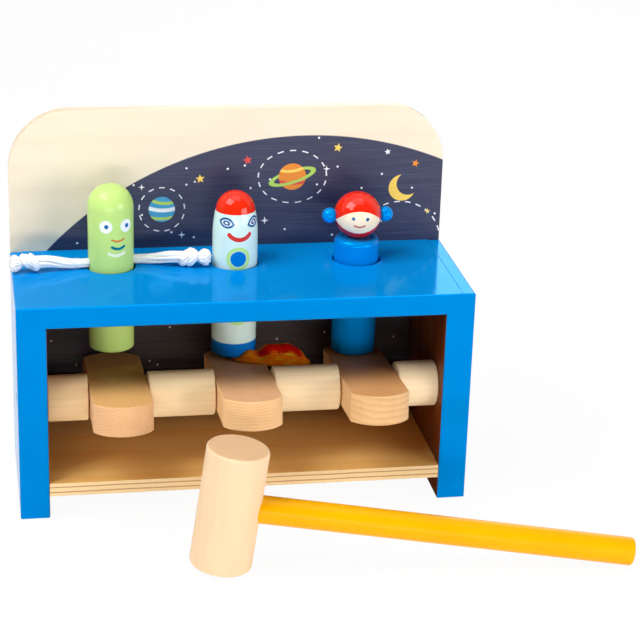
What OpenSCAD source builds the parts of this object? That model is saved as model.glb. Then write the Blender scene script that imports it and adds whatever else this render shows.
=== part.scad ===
/* [Bench] */
// Width over the two side panels
bench_w = 240; // [230:1:280]
// Depth of the side panels, the top and the shelf
bench_d = 87; // [84:1:110]
// Height of the top surface above the floor
bench_h = 119; // [114:1:130]
// Thickness of a side panel
side_t = 15.5; // [12:0.5:18]
// Thickness of the top
top_t = 11.6; // [8:0.2:13]
// Outer part of a side panel's thickness that stands beside the end of the top
tongue_t = 7; // [4:0.5:9]
// Rounding of the painted edges
edge_r = 1.2; // [0.5:0.1:2.5]
// Thickness of the shelf
shelf_t = 7.2; // [5:0.2:10]
// Height of the underside of the shelf above the floor
shelf_h = 13; // [6:0.5:20]
// Depth of the groove in a side panel that takes the end of the shelf
groove_d = 5; // [3:0.5:7]
// How far behind the front that groove starts
groove_stop = 10; // [5:1:20]
// Glue gap round a piece that is let into another
glue_gap = 0.1; // [0.05:0.05:0.2]

/* [Back panel] */
// How far each edge of the back panel stays inside the side panels
back_inset = 0.5; // [0:0.1:3]
// Height of the top edge of the back panel above the floor
back_top = 198; // [170:1:240]
// Height of its bottom edge above the floor
back_bottom = 3.5; // [1:0.5:10]
// Thickness of the back panel
back_t = 6; // [4:0.5:9]
// Radius of its top corners
back_corner_r = 33; // [10:1:60]

/* [Screws of the back panel] */
// Shank diameter of a screw
screw_d = 3.5; // [2.5:0.1:4.5]
// Diameter of its countersunk head
screw_head_d = 7; // [6:0.1:8.5]
// Length of a screw
screw_l = 28; // [20:1:36]
// Height of the lowest screws above the floor
screw_low = 30; // [26:1:34]
// Distance between the screws up a side
screw_step = 33; // [28:1:35]

/* [Levers and axle] */
// Length of the spacers at the two ends of the axle
end_spacer_l = 21.5; // [16:0.5:28]
// Width of a lever
lever_w = 31; // [27:0.5:34]
// Thickness of a lever
lever_t = 16; // [13:0.5:18]
// Reach of a lever in front of the axle
lever_front = 46; // [40:1:54]
// Gap between the rear end of a lever, laid level, and the back panel
lever_back_gap = 12.5; // [10:0.5:15]
// How much the radius of a lever's round ends exceeds half its width
lever_end_extra = 2.2; // [1.5:0.1:9]
// Rounding of a lever's edges
lever_edge_r = 0.7; // [0.3:0.1:1.5]
// How far the rear end hangs down at rest, in degrees
lever_tilt = 6; // [4:0.5:9]
// Diameter of the axle
axle_d = 8; // [6:0.5:11]
// Distance of the axle behind the front
axle_back = 20; // [18:0.5:23]
// Height of the axle above the floor
axle_h = 60.5; // [58:0.5:63]
// How far the ends of the axle lie inside the side panels' outer faces
axle_inset = 0.4; // [0.2:0.1:2]
// Radial gap between the axle and the pieces fixed on it
axle_fit = 0.05; // [0.02:0.01:0.1]
// Radial gap between the axle and a lever
lever_play = 0.08; // [0.04:0.01:0.1]
// Diameter of the spacers between the levers
spacer_d = 24.6; // [18:0.2:28]
// Rounding of the spacers' rims
spacer_edge_r = 0.9; // [0.4:0.1:2]
// Gap between a lever and the spacer beside it
side_gap = 0.5; // [0.3:0.1:1]

/* [Stop rail] */
// Depth of the rail that the rear ends of the levers rest on
rail_d = 12; // [8:0.5:14]
// Height of the rail
rail_h = 10; // [8:0.5:14]
// Diameter of the dowels at its ends
rail_dowel_d = 5; // [4:0.5:6]
// Length of those dowels
rail_dowel_l = 20; // [14:1:24]

/* [Pegs] */
// Diameter of a peg
peg_d = 24.5; // [22:0.5:26]
// Length of the alien and rocket pegs
peg_l = 92; // [84:1:104]
// Distance of the middle of the peg holes in front of the back panel
peg_back = 26.5; // [25:0.5:29]
// Radial gap between a peg and its hole
hole_play = 0.75; // [0.4:0.05:1.2]
// Bevel round the top rim of a peg hole
hole_bevel = 0.5; // [0.2:0.1:1]
// Rounding of a peg's bottom rim
peg_edge_r = 1; // [0.5:0.1:2]
// Gap where a moving piece rests on another
rest_gap = 0.3; // [0.2:0.05:0.5]

/* [Alien peg] */
// How far the peg hangs above its lever, held by its arms
alien_hang = 7.5; // [5:0.5:10]
// Turn of the peg towards the right, in degrees
alien_turn = 9; // [0:1:12]
// Diameter of the cord that forms the arms
cord_d = 5; // [4:0.2:5.6]
// Radial gap between the cord and its bore
cord_fit = 0.3; // [0.2:0.05:0.5]
// Diameter of the knot in each arm
knot_d = 9.6; // [8.6:0.2:9.8]
// Diameter of the frayed tuft outside the knot
tuft_d = 8; // [6:0.2:8.8]
// Distance from the knot to the tuft
tuft_step = 7.8; // [6:0.2:9]
// Least gap between a tuft or the flame and the next peg
soft_gap = 1.5; // [1:0.1:3]

/* [Rocket peg] */
// Length of the curved nose
nose_l = 24.5; // [20:0.5:32]
// Radius of the nose's flank
nose_flank_r = 69; // [50:1:100]
// Room under the foot that the bunched flame takes up
flame_room = 1.9; // [1.7:0.1:3]
// Width of the flame
flame_w = 13; // [8:0.5:13]
// Rise of the flame's far edge
flame_rise = 5.2; // [3:0.2:6]
// Height of the folds across the flame
flame_fold = 0.7; // [0.3:0.1:1]
// Thickness of the flame's cloth
flame_t = 0.8; // [0.5:0.1:0.9]

/* [Astronaut peg] */
// Length of the body
body_l = 66; // [60:0.5:76]
// Rounding of the shoulder
shoulder_r = 3; // [1:0.5:5]
// Diameter of the head
head_d = 25.6; // [22:0.2:30]
// Height of the flat under the head
head_flat = 0.6; // [0.3:0.1:1.2]
// Diameter of an ear
ear_d = 8.4; // [6:0.2:10]
// Depth that an ear reaches into the round of the head
ear_sink = 1.6; // [1:0.1:2.4]
// Diameter of the neck pin
pin_d = 6; // [4:0.5:7]
// Length of the neck pin
pin_l = 16; // [10:1:20]

/* [Hammer] */
// Diameter of the hammer head
hammer_d = 32; // [26:0.5:40]
// Length of the hammer head
hammer_l = 65; // [50:1:80]
// Diameter of the handle
handle_d = 14.5; // [10:0.5:18]
// Reach of the handle from the middle of the head
handle_reach = 209; // [150:1:230]
// Depth of the handle's seat in the head
handle_seat = 20; // [10:1:24]
// Rounding of the rims of the head and the handle
hammer_edge_r = 1.5; // [0.8:0.1:3]
// Place of the hammer head to the right of the bench's middle
hammer_x = -18; // [-60:1:20]
// Place of the hammer head in front of the bench
hammer_front = 63; // [58:1:110]
// Turn of the handle from the bench's front, in degrees
hammer_turn = -6; // [-15:1:0]

/* [Hidden] */
$fn = 64;
cut = 1;
front_y = -(bench_d + back_t) / 2;
back_y = front_y + bench_d;
inner_w = bench_w - 2 * side_t;
top_l = bench_w - 2 * tongue_t;
lever_pitch = inner_w / 2 - end_spacer_l - side_gap - lever_w / 2;
lever_rear = bench_d - axle_back - lever_back_gap;
lever_end_r = lever_w / 2 + lever_end_extra;
peg_reach = bench_d - axle_back - peg_back;
screw_x = bench_w / 2 - side_t / 2;
screw_rows = 3;
axle_y = front_y + axle_back;
peg_y = axle_y + peg_reach;
cord_h = bench_h + rest_gap + cord_d / 2;

// Height of the top of a resting lever at a distance behind its axle
function lever_top(reach) = axle_h + lever_t / 2 / cos(lever_tilt) - reach * tan(lever_tilt);

// Lower rear edge of a resting lever, which sits on the stop rail
rear_edge_y = axle_y + lever_rear * cos(lever_tilt) - lever_t / 2 * sin(lever_tilt);
rear_edge_h = axle_h - lever_rear * sin(lever_tilt) - lever_t / 2 * cos(lever_tilt);
rail_top = rear_edge_h - rest_gap;

// Heights of the pegs' feet, set by the front rim of each foot above its lever
foot_seat = lever_top(peg_reach - peg_d / 2);
alien_h = foot_seat + alien_hang;
rocket_h = foot_seat + flame_room;
astronaut_h = foot_seat + rest_gap;
head_r = head_d / 2;
head_h = body_l + head_r - head_flat;
ear_x = head_r + ear_d / 2 - ear_sink;

// Length of the spacers between two levers
mid_spacer_l = lever_pitch - lever_w - 2 * side_gap;

// Circle that rounds the rocket's tip and runs into the arc of the flank
flank_x = nose_flank_r - peg_d / 2;
flank_drop = nose_flank_r - nose_l;
tip_h = (flank_x * flank_x - flank_drop * flank_drop) / (2 * flank_drop);
tip_r = nose_l - tip_h;
tip_join = tip_h * nose_flank_r / (nose_flank_r - tip_r);

// The hammer leans until the rim of its head and the end of its handle touch the floor
hammer_r = hammer_d / 2;
hammer_lean = atan((hammer_l - handle_d) / 2 / (handle_reach - hammer_r));
hammer_h = (hammer_r - hammer_edge_r) * sin(hammer_lean)
    + (hammer_l / 2 - hammer_edge_r) * cos(hammer_lean) + hammer_edge_r;

// Routes of the two arms, from the middle of the alien's bore
cord_sides = 10;
arm_left = [[0, 0, 0], [-12, 0, 0], [-18, 0, 0], [-24, 0, 0.6], [-30, 0.4, 1.8], [-34, 0.7, 2.4],
    [-38, 1, 2.4]];
arm_right = [[0, 0, 0], [12, 0, 0], [18, -1, 0], [23.5, -3.7, 0.6], [28.5, -6.7, 1.8], [32, -8.4, 2.4],
    [35.5, -9.5, 2.4]];

// The right arm turns forward at its first bend where the next peg leaves too little room for it
arm_bend = arm_right[2];
arm_room = lever_pitch - peg_d / 2 - soft_gap - arm_bend.x;
arm_reach = arm_right[6].x - arm_bend.x + knot_d / 2 + tuft_step + tuft_d / 2;
arm_swing = acos(min(1, arm_room / arm_reach));
function swung(p) = p.x <= arm_bend.x ? p : let (d = p - arm_bend, c = cos(arm_swing), s = sin(arm_swing))
    arm_bend + [d.x * c + d.y * s, d.y * c - d.x * s, d.z];
arm_right_route = [for (p = arm_right) swung(p)];

// Middle line of the flame, from under the rocket's foot to its tip, drawn in where the pegs stand closer
flame_line = [[-2, -7], [1, -18], [20, -14], [41, -7]];
flame_fit = min(1, (lever_pitch - peg_d / 2 - soft_gap) / flame_line[3].x);
flame_bed = flame_room / 2 - 0.25;
flame_steps = 24;
flame_rows = 6;
flame_folds = 3;

blue = [0, 0.5, 0.87];
beech = [0.92, 0.78, 0.6];
plywood = [0.96, 0.9, 0.78];

// Rectangle with round corners, from the origin
module rounded_rect(size, r) {
    translate([r, 0]) square([size.x - 2 * r, size.y]);
    translate([0, r]) square([size.x, size.y - 2 * r]);
    for (x = [r, size.x - r], y = [r, size.y - r]) translate([x, y]) circle(r);
}

// Draws a flat outline across the bench's depth and height and extrudes it to the right
module along_x(length) {
    rotate([90, 0, 90]) linear_extrude(length) children();
}

// Draws a flat outline across the width and height and extrudes it to the rear
module along_y(length) {
    translate([0, length, 0]) rotate([90, 0, 0]) linear_extrude(length) children();
}

// Board with all its edges rounded, from the origin
module board(size, r) {
    intersection() {
        linear_extrude(size.z) rounded_rect([size.x, size.y], r);
        along_x(size.x) rounded_rect([size.y, size.z], r);
        along_y(size.y) rounded_rect([size.x, size.z], r);
    }
}

// Cylinder along the width, centred on the axle's line
module axle_bar(d, length) {
    translate([0, axle_y, axle_h]) rotate([0, 90, 0]) cylinder(d = d, h = length, center = true);
}

module at_screws() {
    for (side = [-1, 1], row = [0 : screw_rows - 1])
        translate([side * screw_x, back_y + back_t, screw_low + row * screw_step])
            rotate([90, 0, 0]) children();
}

// Countersunk screw from its head downwards, or its hole when it is given a gap
module screw(gap) {
    head_h = (screw_head_d - screw_d) / 2;
    translate([0, 0, -gap]) cylinder(d1 = screw_head_d + 4 * gap, d2 = screw_d + 2 * gap, h = head_h + gap);
    cylinder(d = screw_d + 2 * gap, h = screw_l - screw_d + gap);
    translate([0, 0, screw_l - screw_d + gap]) cylinder(d1 = screw_d + 2 * gap, d2 = 0.5, h = screw_d);
}

module rail_dowel_bars(gap) {
    for (side = [-1, 1])
        translate([side * inner_w / 2, rear_edge_y, rail_top - rail_h / 2]) rotate([0, 90, 0])
            cylinder(d = rail_dowel_d + 2 * gap, h = rail_dowel_l + 2 * gap, center = true);
}

// Left side panel, rabbeted for the top and grooved for the shelf
module side_panel() {
    color(blue) difference() {
        translate([-bench_w / 2, front_y, 0]) board([side_t, bench_d, bench_h], edge_r);
        translate([-top_l / 2, front_y - cut, bench_h - top_t])
            cube([side_t, bench_d + 2 * cut, top_t + cut]);
        translate([-inner_w / 2 - groove_d, front_y + groove_stop, shelf_h])
            cube([groove_d + cut, bench_d, shelf_t]);
        axle_bar(axle_d + 2 * axle_fit, bench_w + 2 * cut);
        rail_dowel_bars(glue_gap);
        at_screws() screw(axle_fit);
    }
}

module left_side_panel() {
    side_panel();
}

module right_side_panel() {
    mirror([1, 0, 0]) side_panel();
}

// Hole for a peg from the top surface downwards, with a bevelled rim
module peg_hole() {
    r = peg_d / 2 + hole_play;
    translate([0, 0, -top_t - cut]) cylinder(r = r, h = top_t + 2 * cut);
    translate([0, 0, -hole_bevel]) cylinder(r1 = r, r2 = r + hole_bevel + cut, h = hole_bevel + cut);
}

module top_plate() {
    color(blue) difference() {
        translate([-top_l / 2, front_y, bench_h - top_t]) along_x(top_l) {
            rounded_rect([bench_d, top_t], edge_r);
            translate([bench_d / 2, 0]) square([bench_d / 2, top_t]);
        }
        for (i = [-1 : 1]) translate([i * lever_pitch, peg_y, bench_h]) peg_hole();
    }
}

// Shelf with a tongue at each end, let into the grooves of the side panels
module shelf() {
    tongue = groove_d - glue_gap;
    color(plywood) translate([-inner_w / 2, front_y, shelf_h]) linear_extrude(shelf_t) {
        square([inner_w, bench_d]);
        translate([-tongue, groove_stop + glue_gap])
            square([inner_w + 2 * tongue, bench_d - groove_stop - glue_gap]);
    }
}

module back_outline() {
    half_w = bench_w / 2 - back_inset;
    h = back_top - back_bottom;
    translate([-half_w, 0]) square([2 * half_w, h - back_corner_r]);
    translate([-half_w + back_corner_r, 0]) square([2 * (half_w - back_corner_r), h]);
    for (side = [-1, 1])
        translate([side * (half_w - back_corner_r), h - back_corner_r]) circle(back_corner_r);
}

module back_panel() {
    color(plywood) difference() {
        translate([0, back_y, back_bottom]) along_y(back_t) back_outline();
        at_screws() screw(axle_fit);
    }
}

module back_screws() {
    color("silver") at_screws() screw(0);
}

module stop_rail() {
    color(beech) difference() {
        translate([-inner_w / 2, rear_edge_y - rail_d / 2, rail_top - rail_h]) along_x(inner_w)
            rounded_rect([rail_d, rail_h], edge_r);
        rail_dowel_bars(glue_gap);
    }
}

module rail_dowels() {
    color(beech) rail_dowel_bars(0);
}

module axle() {
    color(beech) axle_bar(axle_d, bench_w - 2 * axle_inset);
}

// Upright round bar with rounded rims, from the origin, with a bore if it is given one
module round_bar(d, length, r, bore_d = 0) {
    rotate_extrude() intersection() {
        translate([-d / 2, 0]) rounded_rect([d, length], r);
        translate([bore_d / 2, 0]) square([d, length]);
    }
}

// Bored spacer with its left end at a place along the axle
module spacer(left, length) {
    color(beech) translate([left, axle_y, axle_h]) rotate([0, 90, 0])
        round_bar(spacer_d, length, spacer_edge_r, axle_d + 2 * axle_fit);
}

module spacer_left_end() {
    spacer(-inner_w / 2, end_spacer_l);
}

module spacer_left() {
    spacer(-lever_pitch + lever_w / 2 + side_gap, mid_spacer_l);
}

module spacer_right() {
    spacer(lever_w / 2 + side_gap, mid_spacer_l);
}

module spacer_right_end() {
    spacer(inner_w / 2 - end_spacer_l, end_spacer_l);
}

// Level lever with its axle above the origin: a bar with rounded edges, cut to two round ends
module lever_blank() {
    length = lever_front + lever_rear;
    intersection() {
        translate([-lever_w / 2, -lever_front, 0]) along_y(length)
            rounded_rect([lever_w, lever_t], lever_edge_r);
        union() {
            for (y = [lever_end_r - lever_front, lever_rear - lever_end_r])
                translate([0, y, 0]) round_bar(2 * lever_end_r, lever_t, lever_edge_r);
            translate([-lever_w, lever_end_r - lever_front, 0])
                cube([2 * lever_w, length - 2 * lever_end_r, lever_t]);
        }
    }
}

module lever(place) {
    color(beech) difference() {
        translate([place * lever_pitch, axle_y, axle_h]) rotate([-lever_tilt, 0, 0])
            translate([0, 0, -lever_t / 2]) lever_blank();
        axle_bar(axle_d + 2 * lever_play, bench_w);
    }
}

module lever_left() {
    lever(-1);
}

module lever_middle() {
    lever(0);
}

module lever_right() {
    lever(1);
}

// Half profile of a straight peg shaft with a rounded bottom rim
module shaft_profile(length) {
    r = peg_d / 2;
    square([r - peg_edge_r, length]);
    translate([0, peg_edge_r]) square([r, length - peg_edge_r]);
    translate([r - peg_edge_r, peg_edge_r]) circle(peg_edge_r);
}

// Part of a circle around the peg's own line between two heights
module arc_band(centre, r, low, high) {
    intersection() {
        translate(centre) circle(r, $fn = 180);
        translate([0, low]) square([peg_d, high - low]);
    }
}

module at_alien() {
    translate([-lever_pitch, peg_y, 0]) rotate(alien_turn) children();
}

module alien_peg() {
    r = peg_d / 2;
    color([0.65, 0.86, 0.43]) at_alien() difference() {
        translate([0, 0, alien_h]) rotate_extrude() {
            shaft_profile(peg_l - r);
            arc_band([0, peg_l - r], r, peg_l - r, peg_l);
        }
        translate([0, 0, cord_h]) rotate([0, 90, 0])
            cylinder(d = cord_d + 2 * cord_fit, h = 2 * peg_d, center = true);
    }
}

function unit(v) = v / norm(v);

// Direction of a route at one of its points
function heading(route, i) =
    unit(route[min(i + 1, len(route) - 1)] - route[max(i - 1, 0)]);

// Point on the cord's skin round one point of its route
function skin_point(route, i, angle) =
    let (along = heading(route, i), side = unit(cross(along, [0, 0, 1])), up = cross(side, along))
    route[i] + cord_d / 2 * (cos(angle) * side + sin(angle) * up);

// Cord along a route, with a flat end at each side
module cord(route) {
    rings = len(route);
    n = cord_sides;
    polyhedron(
        [for (i = [0 : rings - 1], k = [0 : n - 1]) skin_point(route, i, 360 * k / n)],
        [
            [for (k = [n - 1 : -1 : 0]) k],
            for (i = [0 : rings - 2], k = [0 : n - 1])
                each let (a = i * n + k, b = i * n + (k + 1) % n) [[a, b, b + n], [a, b + n, a + n]],
            [for (k = [0 : n - 1]) (rings - 1) * n + k]
        ]);
}

module arm_cord(route) {
    color("white") at_alien() translate([0, 0, cord_h]) cord(route);
}

// Round knot and frayed tuft at the far end of a route
module arm_knot(route) {
    last = len(route) - 1;
    end = unit(route[last] - route[last - 1]);
    tuft_h = knot_d / 2 + tuft_step;
    color("white") at_alien() translate([0, 0, cord_h]) translate(route[last])
        rotate([0, 90, atan2(end.y, end.x)]) rotate_extrude() intersection() {
            union() {
                translate([0, knot_d / 2]) circle(d = knot_d);
                translate([0, tuft_h]) circle(d = tuft_d);
                square([cord_d / 2, tuft_h]);
            }
            square([knot_d, tuft_h + tuft_d]);
        }
}

module arm_cord_left() {
    arm_cord(arm_left);
}

module arm_cord_right() {
    arm_cord(arm_right_route);
}

module arm_knot_left() {
    arm_knot(arm_left);
}

module arm_knot_right() {
    arm_knot(arm_right_route);
}

module at_rocket() {
    translate([0, peg_y, rocket_h]) children();
}

// Rocket with a pointed round nose
module rocket_peg() {
    nose_h = peg_l - nose_l;
    color([0.78, 0.91, 0.96]) at_rocket() rotate_extrude() {
        shaft_profile(nose_h);
        arc_band([-flank_x, nose_h], nose_flank_r, nose_h, nose_h + tip_join);
        arc_band([0, nose_h + tip_h], tip_r, nose_h + tip_join, peg_l);
    }
}

// Point and direction on the flame's middle line, a cubic curve
function flame_mid(t) = let (p = [for (q = flame_line) [q.x * flame_fit, q.y]], s = 1 - t)
    s * s * s * p[0] + 3 * s * s * t * p[1] + 3 * s * t * t * p[2] + t * t * t * p[3];
function flame_way(t) = unit(flame_mid(t + 0.01) - flame_mid(t - 0.01));

// Half width of the flame, which grows from its root and closes at its tip
function flame_half(t) = flame_w / 2 * (0.1 + 0.9 * sin(180 * pow(0.15 + 0.85 * t, 2)));

// Rise of the cloth, flat under the foot, then folded and curling up towards its far edge
function flame_lift(t, across) = sin(180 * max(0, (t - 0.36) / 0.8)) *
    (flame_rise * sin(115 * across) + flame_fold / 2 * (1 + sin(360 * (flame_folds * t + across / 2))));

// Height that the cloth needs to clear the round of a spacer, at a distance behind the axle
function over_spacer(y) = let (r = spacer_d / 2 + rest_gap + flame_t / 2)
    abs(y) < r ? axle_h - rocket_h + sqrt(r * r - y * y) : -flame_room;

// Point on the upper or lower face of the cloth
function flame_point(t, across, face) =
    let (way = flame_way(t), mid = flame_mid(t), out = (2 * across - 1) * flame_half(t))
    let (y = mid.y + way.x * out)
    [mid.x - way.y * out, y,
        max(flame_lift(t, across) - flame_bed, over_spacer(peg_reach + y)) + face * flame_t / 2];

// Cloth flame bunched under the rocket's foot
module rocket_flame() {
    row = flame_rows + 1;
    sheet = row * (flame_steps + 1);
    rim = [
        for (i = [0 : flame_steps]) i * row,
        for (j = [1 : flame_rows]) flame_steps * row + j,
        for (i = [flame_steps - 1 : -1 : 0]) i * row + flame_rows,
        for (j = [flame_rows - 1 : -1 : 1]) j
    ];
    color([0.93, 0.35, 0.08]) at_rocket() polyhedron(
        [for (face = [1, -1], i = [0 : flame_steps], j = [0 : flame_rows])
            flame_point(i / flame_steps, j / flame_rows, face)],
        [
            for (i = [0 : flame_steps - 1], j = [0 : flame_rows - 1])
                each let (a = i * row + j, b = a + row)
                    [[a, a + 1, b + 1], [a, b + 1, b],
                        [sheet + a, sheet + b + 1, sheet + a + 1], [sheet + a, sheet + b, sheet + b + 1]],
            for (k = [0 : len(rim) - 1])
                each let (a = rim[k], b = rim[(k + 1) % len(rim)])
                    [[a, b, sheet + b], [a, sheet + b, sheet + a]]
        ]);
}

module at_astronaut() {
    translate([lever_pitch, peg_y, astronaut_h]) children();
}

module neck_bar(gap) {
    translate([0, 0, body_l]) cylinder(d = pin_d + 2 * gap, h = pin_l + 2 * gap, center = true);
}

module astronaut_body() {
    r = peg_d / 2;
    color(blue) at_astronaut() difference() {
        rotate_extrude() {
            shaft_profile(body_l - shoulder_r);
            square([r - shoulder_r, body_l]);
            arc_band([r - shoulder_r, body_l - shoulder_r], shoulder_r, body_l - shoulder_r, body_l);
        }
        neck_bar(glue_gap);
    }
}

module neck_pin() {
    color(beech) at_astronaut() neck_bar(0);
}

module astronaut_head() {
    color([0.9, 0.15, 0.1]) at_astronaut() difference() {
        translate([0, 0, head_h]) sphere(head_r);
        translate([0, 0, body_l - head_d]) cylinder(d = head_d, h = head_d);
        neck_bar(glue_gap);
    }
}

// Ear ball, hollowed to sit on the round of the head
module ear() {
    color(blue) translate([0, 0, head_h]) rotate([0, -90, 0]) rotate_extrude() difference() {
        intersection() {
            translate([0, ear_x]) circle(d = ear_d);
            square([ear_d, ear_x + ear_d]);
        }
        circle(head_r + glue_gap, $fn = 180);
    }
}

module ear_left() {
    at_astronaut() ear();
}

module ear_right() {
    at_astronaut() mirror([1, 0, 0]) ear();
}

// Hammer with its head upright and its handle to the right, leaned onto the floor
module at_hammer() {
    translate([hammer_x, front_y - hammer_front, hammer_h]) rotate(hammer_turn) rotate([0, hammer_lean, 0])
        children();
}

module hammer_head() {
    color(beech) at_hammer() difference() {
        translate([0, 0, -hammer_l / 2]) round_bar(hammer_d, hammer_l, hammer_edge_r);
        translate([hammer_r - handle_seat, 0, 0]) rotate([0, 90, 0])
            cylinder(d = handle_d + 2 * glue_gap, h = handle_seat + cut);
    }
}

module hammer_handle() {
    seat = hammer_r - handle_seat + glue_gap;
    color([1, 0.72, 0]) at_hammer() translate([seat, 0, 0]) rotate([0, 90, 0])
        round_bar(handle_d, handle_reach - seat, hammer_edge_r);
}

left_side_panel();
right_side_panel();
top_plate();
shelf();
back_panel();
back_screws();
stop_rail();
rail_dowels();
axle();
spacer_left_end();
spacer_left();
spacer_right();
spacer_right_end();
lever_left();
lever_middle();
lever_right();
alien_peg();
arm_cord_left();
arm_cord_right();
arm_knot_left();
arm_knot_right();
rocket_peg();
rocket_flame();
astronaut_body();
neck_pin();
astronaut_head();
ear_left();
ear_right();
hammer_head();
hammer_handle();
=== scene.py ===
import bmesh
import bpy
import math
import random
from mathutils import Matrix, Vector


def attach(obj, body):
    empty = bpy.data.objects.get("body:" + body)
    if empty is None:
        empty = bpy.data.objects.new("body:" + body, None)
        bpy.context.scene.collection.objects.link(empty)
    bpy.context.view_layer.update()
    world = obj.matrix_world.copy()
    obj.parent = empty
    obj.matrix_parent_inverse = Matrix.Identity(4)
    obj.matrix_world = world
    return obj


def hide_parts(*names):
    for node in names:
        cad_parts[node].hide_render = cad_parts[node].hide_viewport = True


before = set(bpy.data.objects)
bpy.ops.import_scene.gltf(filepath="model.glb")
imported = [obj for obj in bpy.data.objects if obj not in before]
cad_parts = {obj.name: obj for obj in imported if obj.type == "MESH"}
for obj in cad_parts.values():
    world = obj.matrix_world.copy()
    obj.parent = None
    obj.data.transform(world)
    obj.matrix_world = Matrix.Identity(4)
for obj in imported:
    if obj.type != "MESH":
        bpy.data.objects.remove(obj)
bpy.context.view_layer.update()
print("frame loaded:", len(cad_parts), "nodes")


# helpers for colours, nodes and meshes

def screen(red, green, blue):
    # a colour read off a screen, as linear RGBA
    linear = []
    for part in (red, green, blue):
        part /= 255
        linear.append(part / 12.92 if part <= 0.04045 else ((part + 0.055) / 1.055) ** 2.4)
    return (*linear, 1.0)


def isSocket(value):
    return isinstance(value, bpy.types.NodeSocket)


def treeOf(values):
    # the node tree of the first value that comes out of a node
    return next(value.id_data for value in values if isSocket(value))


def feed(socket, value):
    if isSocket(value):
        socket.id_data.links.new(value, socket)
    else:
        socket.default_value = value


def put(tree, kind, inputs=None, **settings):
    node = tree.nodes.new(kind)
    for key, value in settings.items():
        setattr(node, key, value)
    for key, value in (inputs or {}).items():
        feed(node.inputs[key], value)
    return node


def calc(operation, *values, clamp=False):
    node = put(treeOf(values), "ShaderNodeMath", operation=operation, use_clamp=clamp)
    for socket, value in zip(node.inputs, values):
        feed(socket, value)
    return node.outputs[0]


def plus(first, second):
    return calc("ADD", first, second)


def minus(first, second):
    return calc("SUBTRACT", first, second)


def times(first, second):
    return calc("MULTIPLY", first, second)


def over(first, second):
    return calc("DIVIDE", first, second)


def timesPlus(value, factor, offset):
    return calc("MULTIPLY_ADD", value, factor, offset)


def size(value):
    return calc("ABSOLUTE", value)


def opposite(mask):
    return calc("SUBTRACT", 1.0, mask)


def between(mask, first, second):
    # goes from the first value to the second as the mask rises
    step = minus(second, first) if isSocket(first) or isSocket(second) else second - first
    return timesPlus(mask, step, first)


def mixColor(factor, first, second, mode="MIX"):
    node = put(treeOf((factor, first, second)), "ShaderNodeMix", data_type="RGBA", blend_type=mode)
    for index, value in ((0, factor), (6, first), (7, second)):
        feed(node.inputs[index], value)
    return node.outputs[2]


def soften(value, low, high):
    node = put(value.id_data, "ShaderNodeMapRange", interpolation_type="SMOOTHSTEP")
    for socket, entry in zip(node.inputs, (value, low, high)):
        feed(socket, entry)
    return node.outputs[0]


def noise(vector, scale, detail=2.0, rough=0.5):
    return put(vector.id_data, "ShaderNodeTexNoise", {
        "Vector": vector, "Scale": scale, "Detail": detail, "Roughness": rough}).outputs[0]


def streaks(vector, along, across, detail=2.0, rough=0.5):
    # noise drawn out along X, the way the grain runs
    drawn = put(vector.id_data, "ShaderNodeVectorMath", {0: vector, 1: (along, across, across)},
                operation="MULTIPLY").outputs[0]
    return noise(drawn, 1.0, detail, rough)


def scaled(vector, factor):
    return put(vector.id_data, "ShaderNodeVectorMath", {0: vector, "Scale": factor},
               operation="SCALE").outputs[0]


def inMillimetres(vector):
    return scaled(vector, 1000.0)


def split(vector):
    return put(vector.id_data, "ShaderNodeSeparateXYZ", {0: vector}).outputs


def newGroup(name, inputs, outputs):
    # an input's start value tells its kind: none is a vector, four numbers are a colour
    group = bpy.data.node_groups.new(name, "ShaderNodeTree")
    for label, value in inputs.items():
        kind = "Vector" if value is None else "Color" if isinstance(value, tuple) else "Float"
        socket = group.interface.new_socket(name=label, in_out="INPUT", socket_type="NodeSocket" + kind)
        if value is not None:
            socket.default_value = value
    for label in outputs:
        kind = "Color" if label == "Color" else "Float"
        group.interface.new_socket(name=label, in_out="OUTPUT", socket_type="NodeSocket" + kind)
    return group, group.nodes.new("NodeGroupInput").outputs, group.nodes.new("NodeGroupOutput").inputs


def use(group, inputs):
    return put(treeOf(inputs.values()), "ShaderNodeGroup", inputs, node_tree=group).outputs


def newMaterial(name, **constants):
    material = bpy.data.materials.new(name)
    material.use_nodes = True
    shader = material.node_tree.nodes["Principled BSDF"]
    for key, value in constants.items():
        shader.inputs[key.replace("_", " ")].default_value = value
    coords = material.node_tree.nodes.new("ShaderNodeTexCoord").outputs
    return material, shader, coords


def dress(shader, color, rough, height, relief):
    feed(shader.inputs["Base Color"], color)
    feed(shader.inputs["Roughness"], rough)
    bump = put(shader.id_data, "ShaderNodeBump", {"Height": height, "Distance": relief, "Strength": 1.0})
    feed(shader.inputs["Normal"], bump.outputs[0])


def finishOn(material, *nodeNames):
    for nodeName in nodeNames:
        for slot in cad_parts[nodeName].material_slots:
            slot.material = material


def addObject(name, data):
    added = bpy.data.objects.new(name, data)
    bpy.context.collection.objects.link(added)
    return added


def meshObject(name, bm, smooth=False):
    mesh = bpy.data.meshes.new(name)
    bm.to_mesh(mesh)
    bm.free()
    if smooth:
        mesh.shade_smooth()
    return addObject(name, mesh)


# camera, placed from the photograph's own view

camera = {
    "place": (-0.14570, -1.03288, 0.50267),
    "yaw": 0.1830, "pitch": 0.3754, "roll": 0.0314,
    "lens": 116.46, "sensor": 36.0, "nearClip": 0.05,
}


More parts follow.
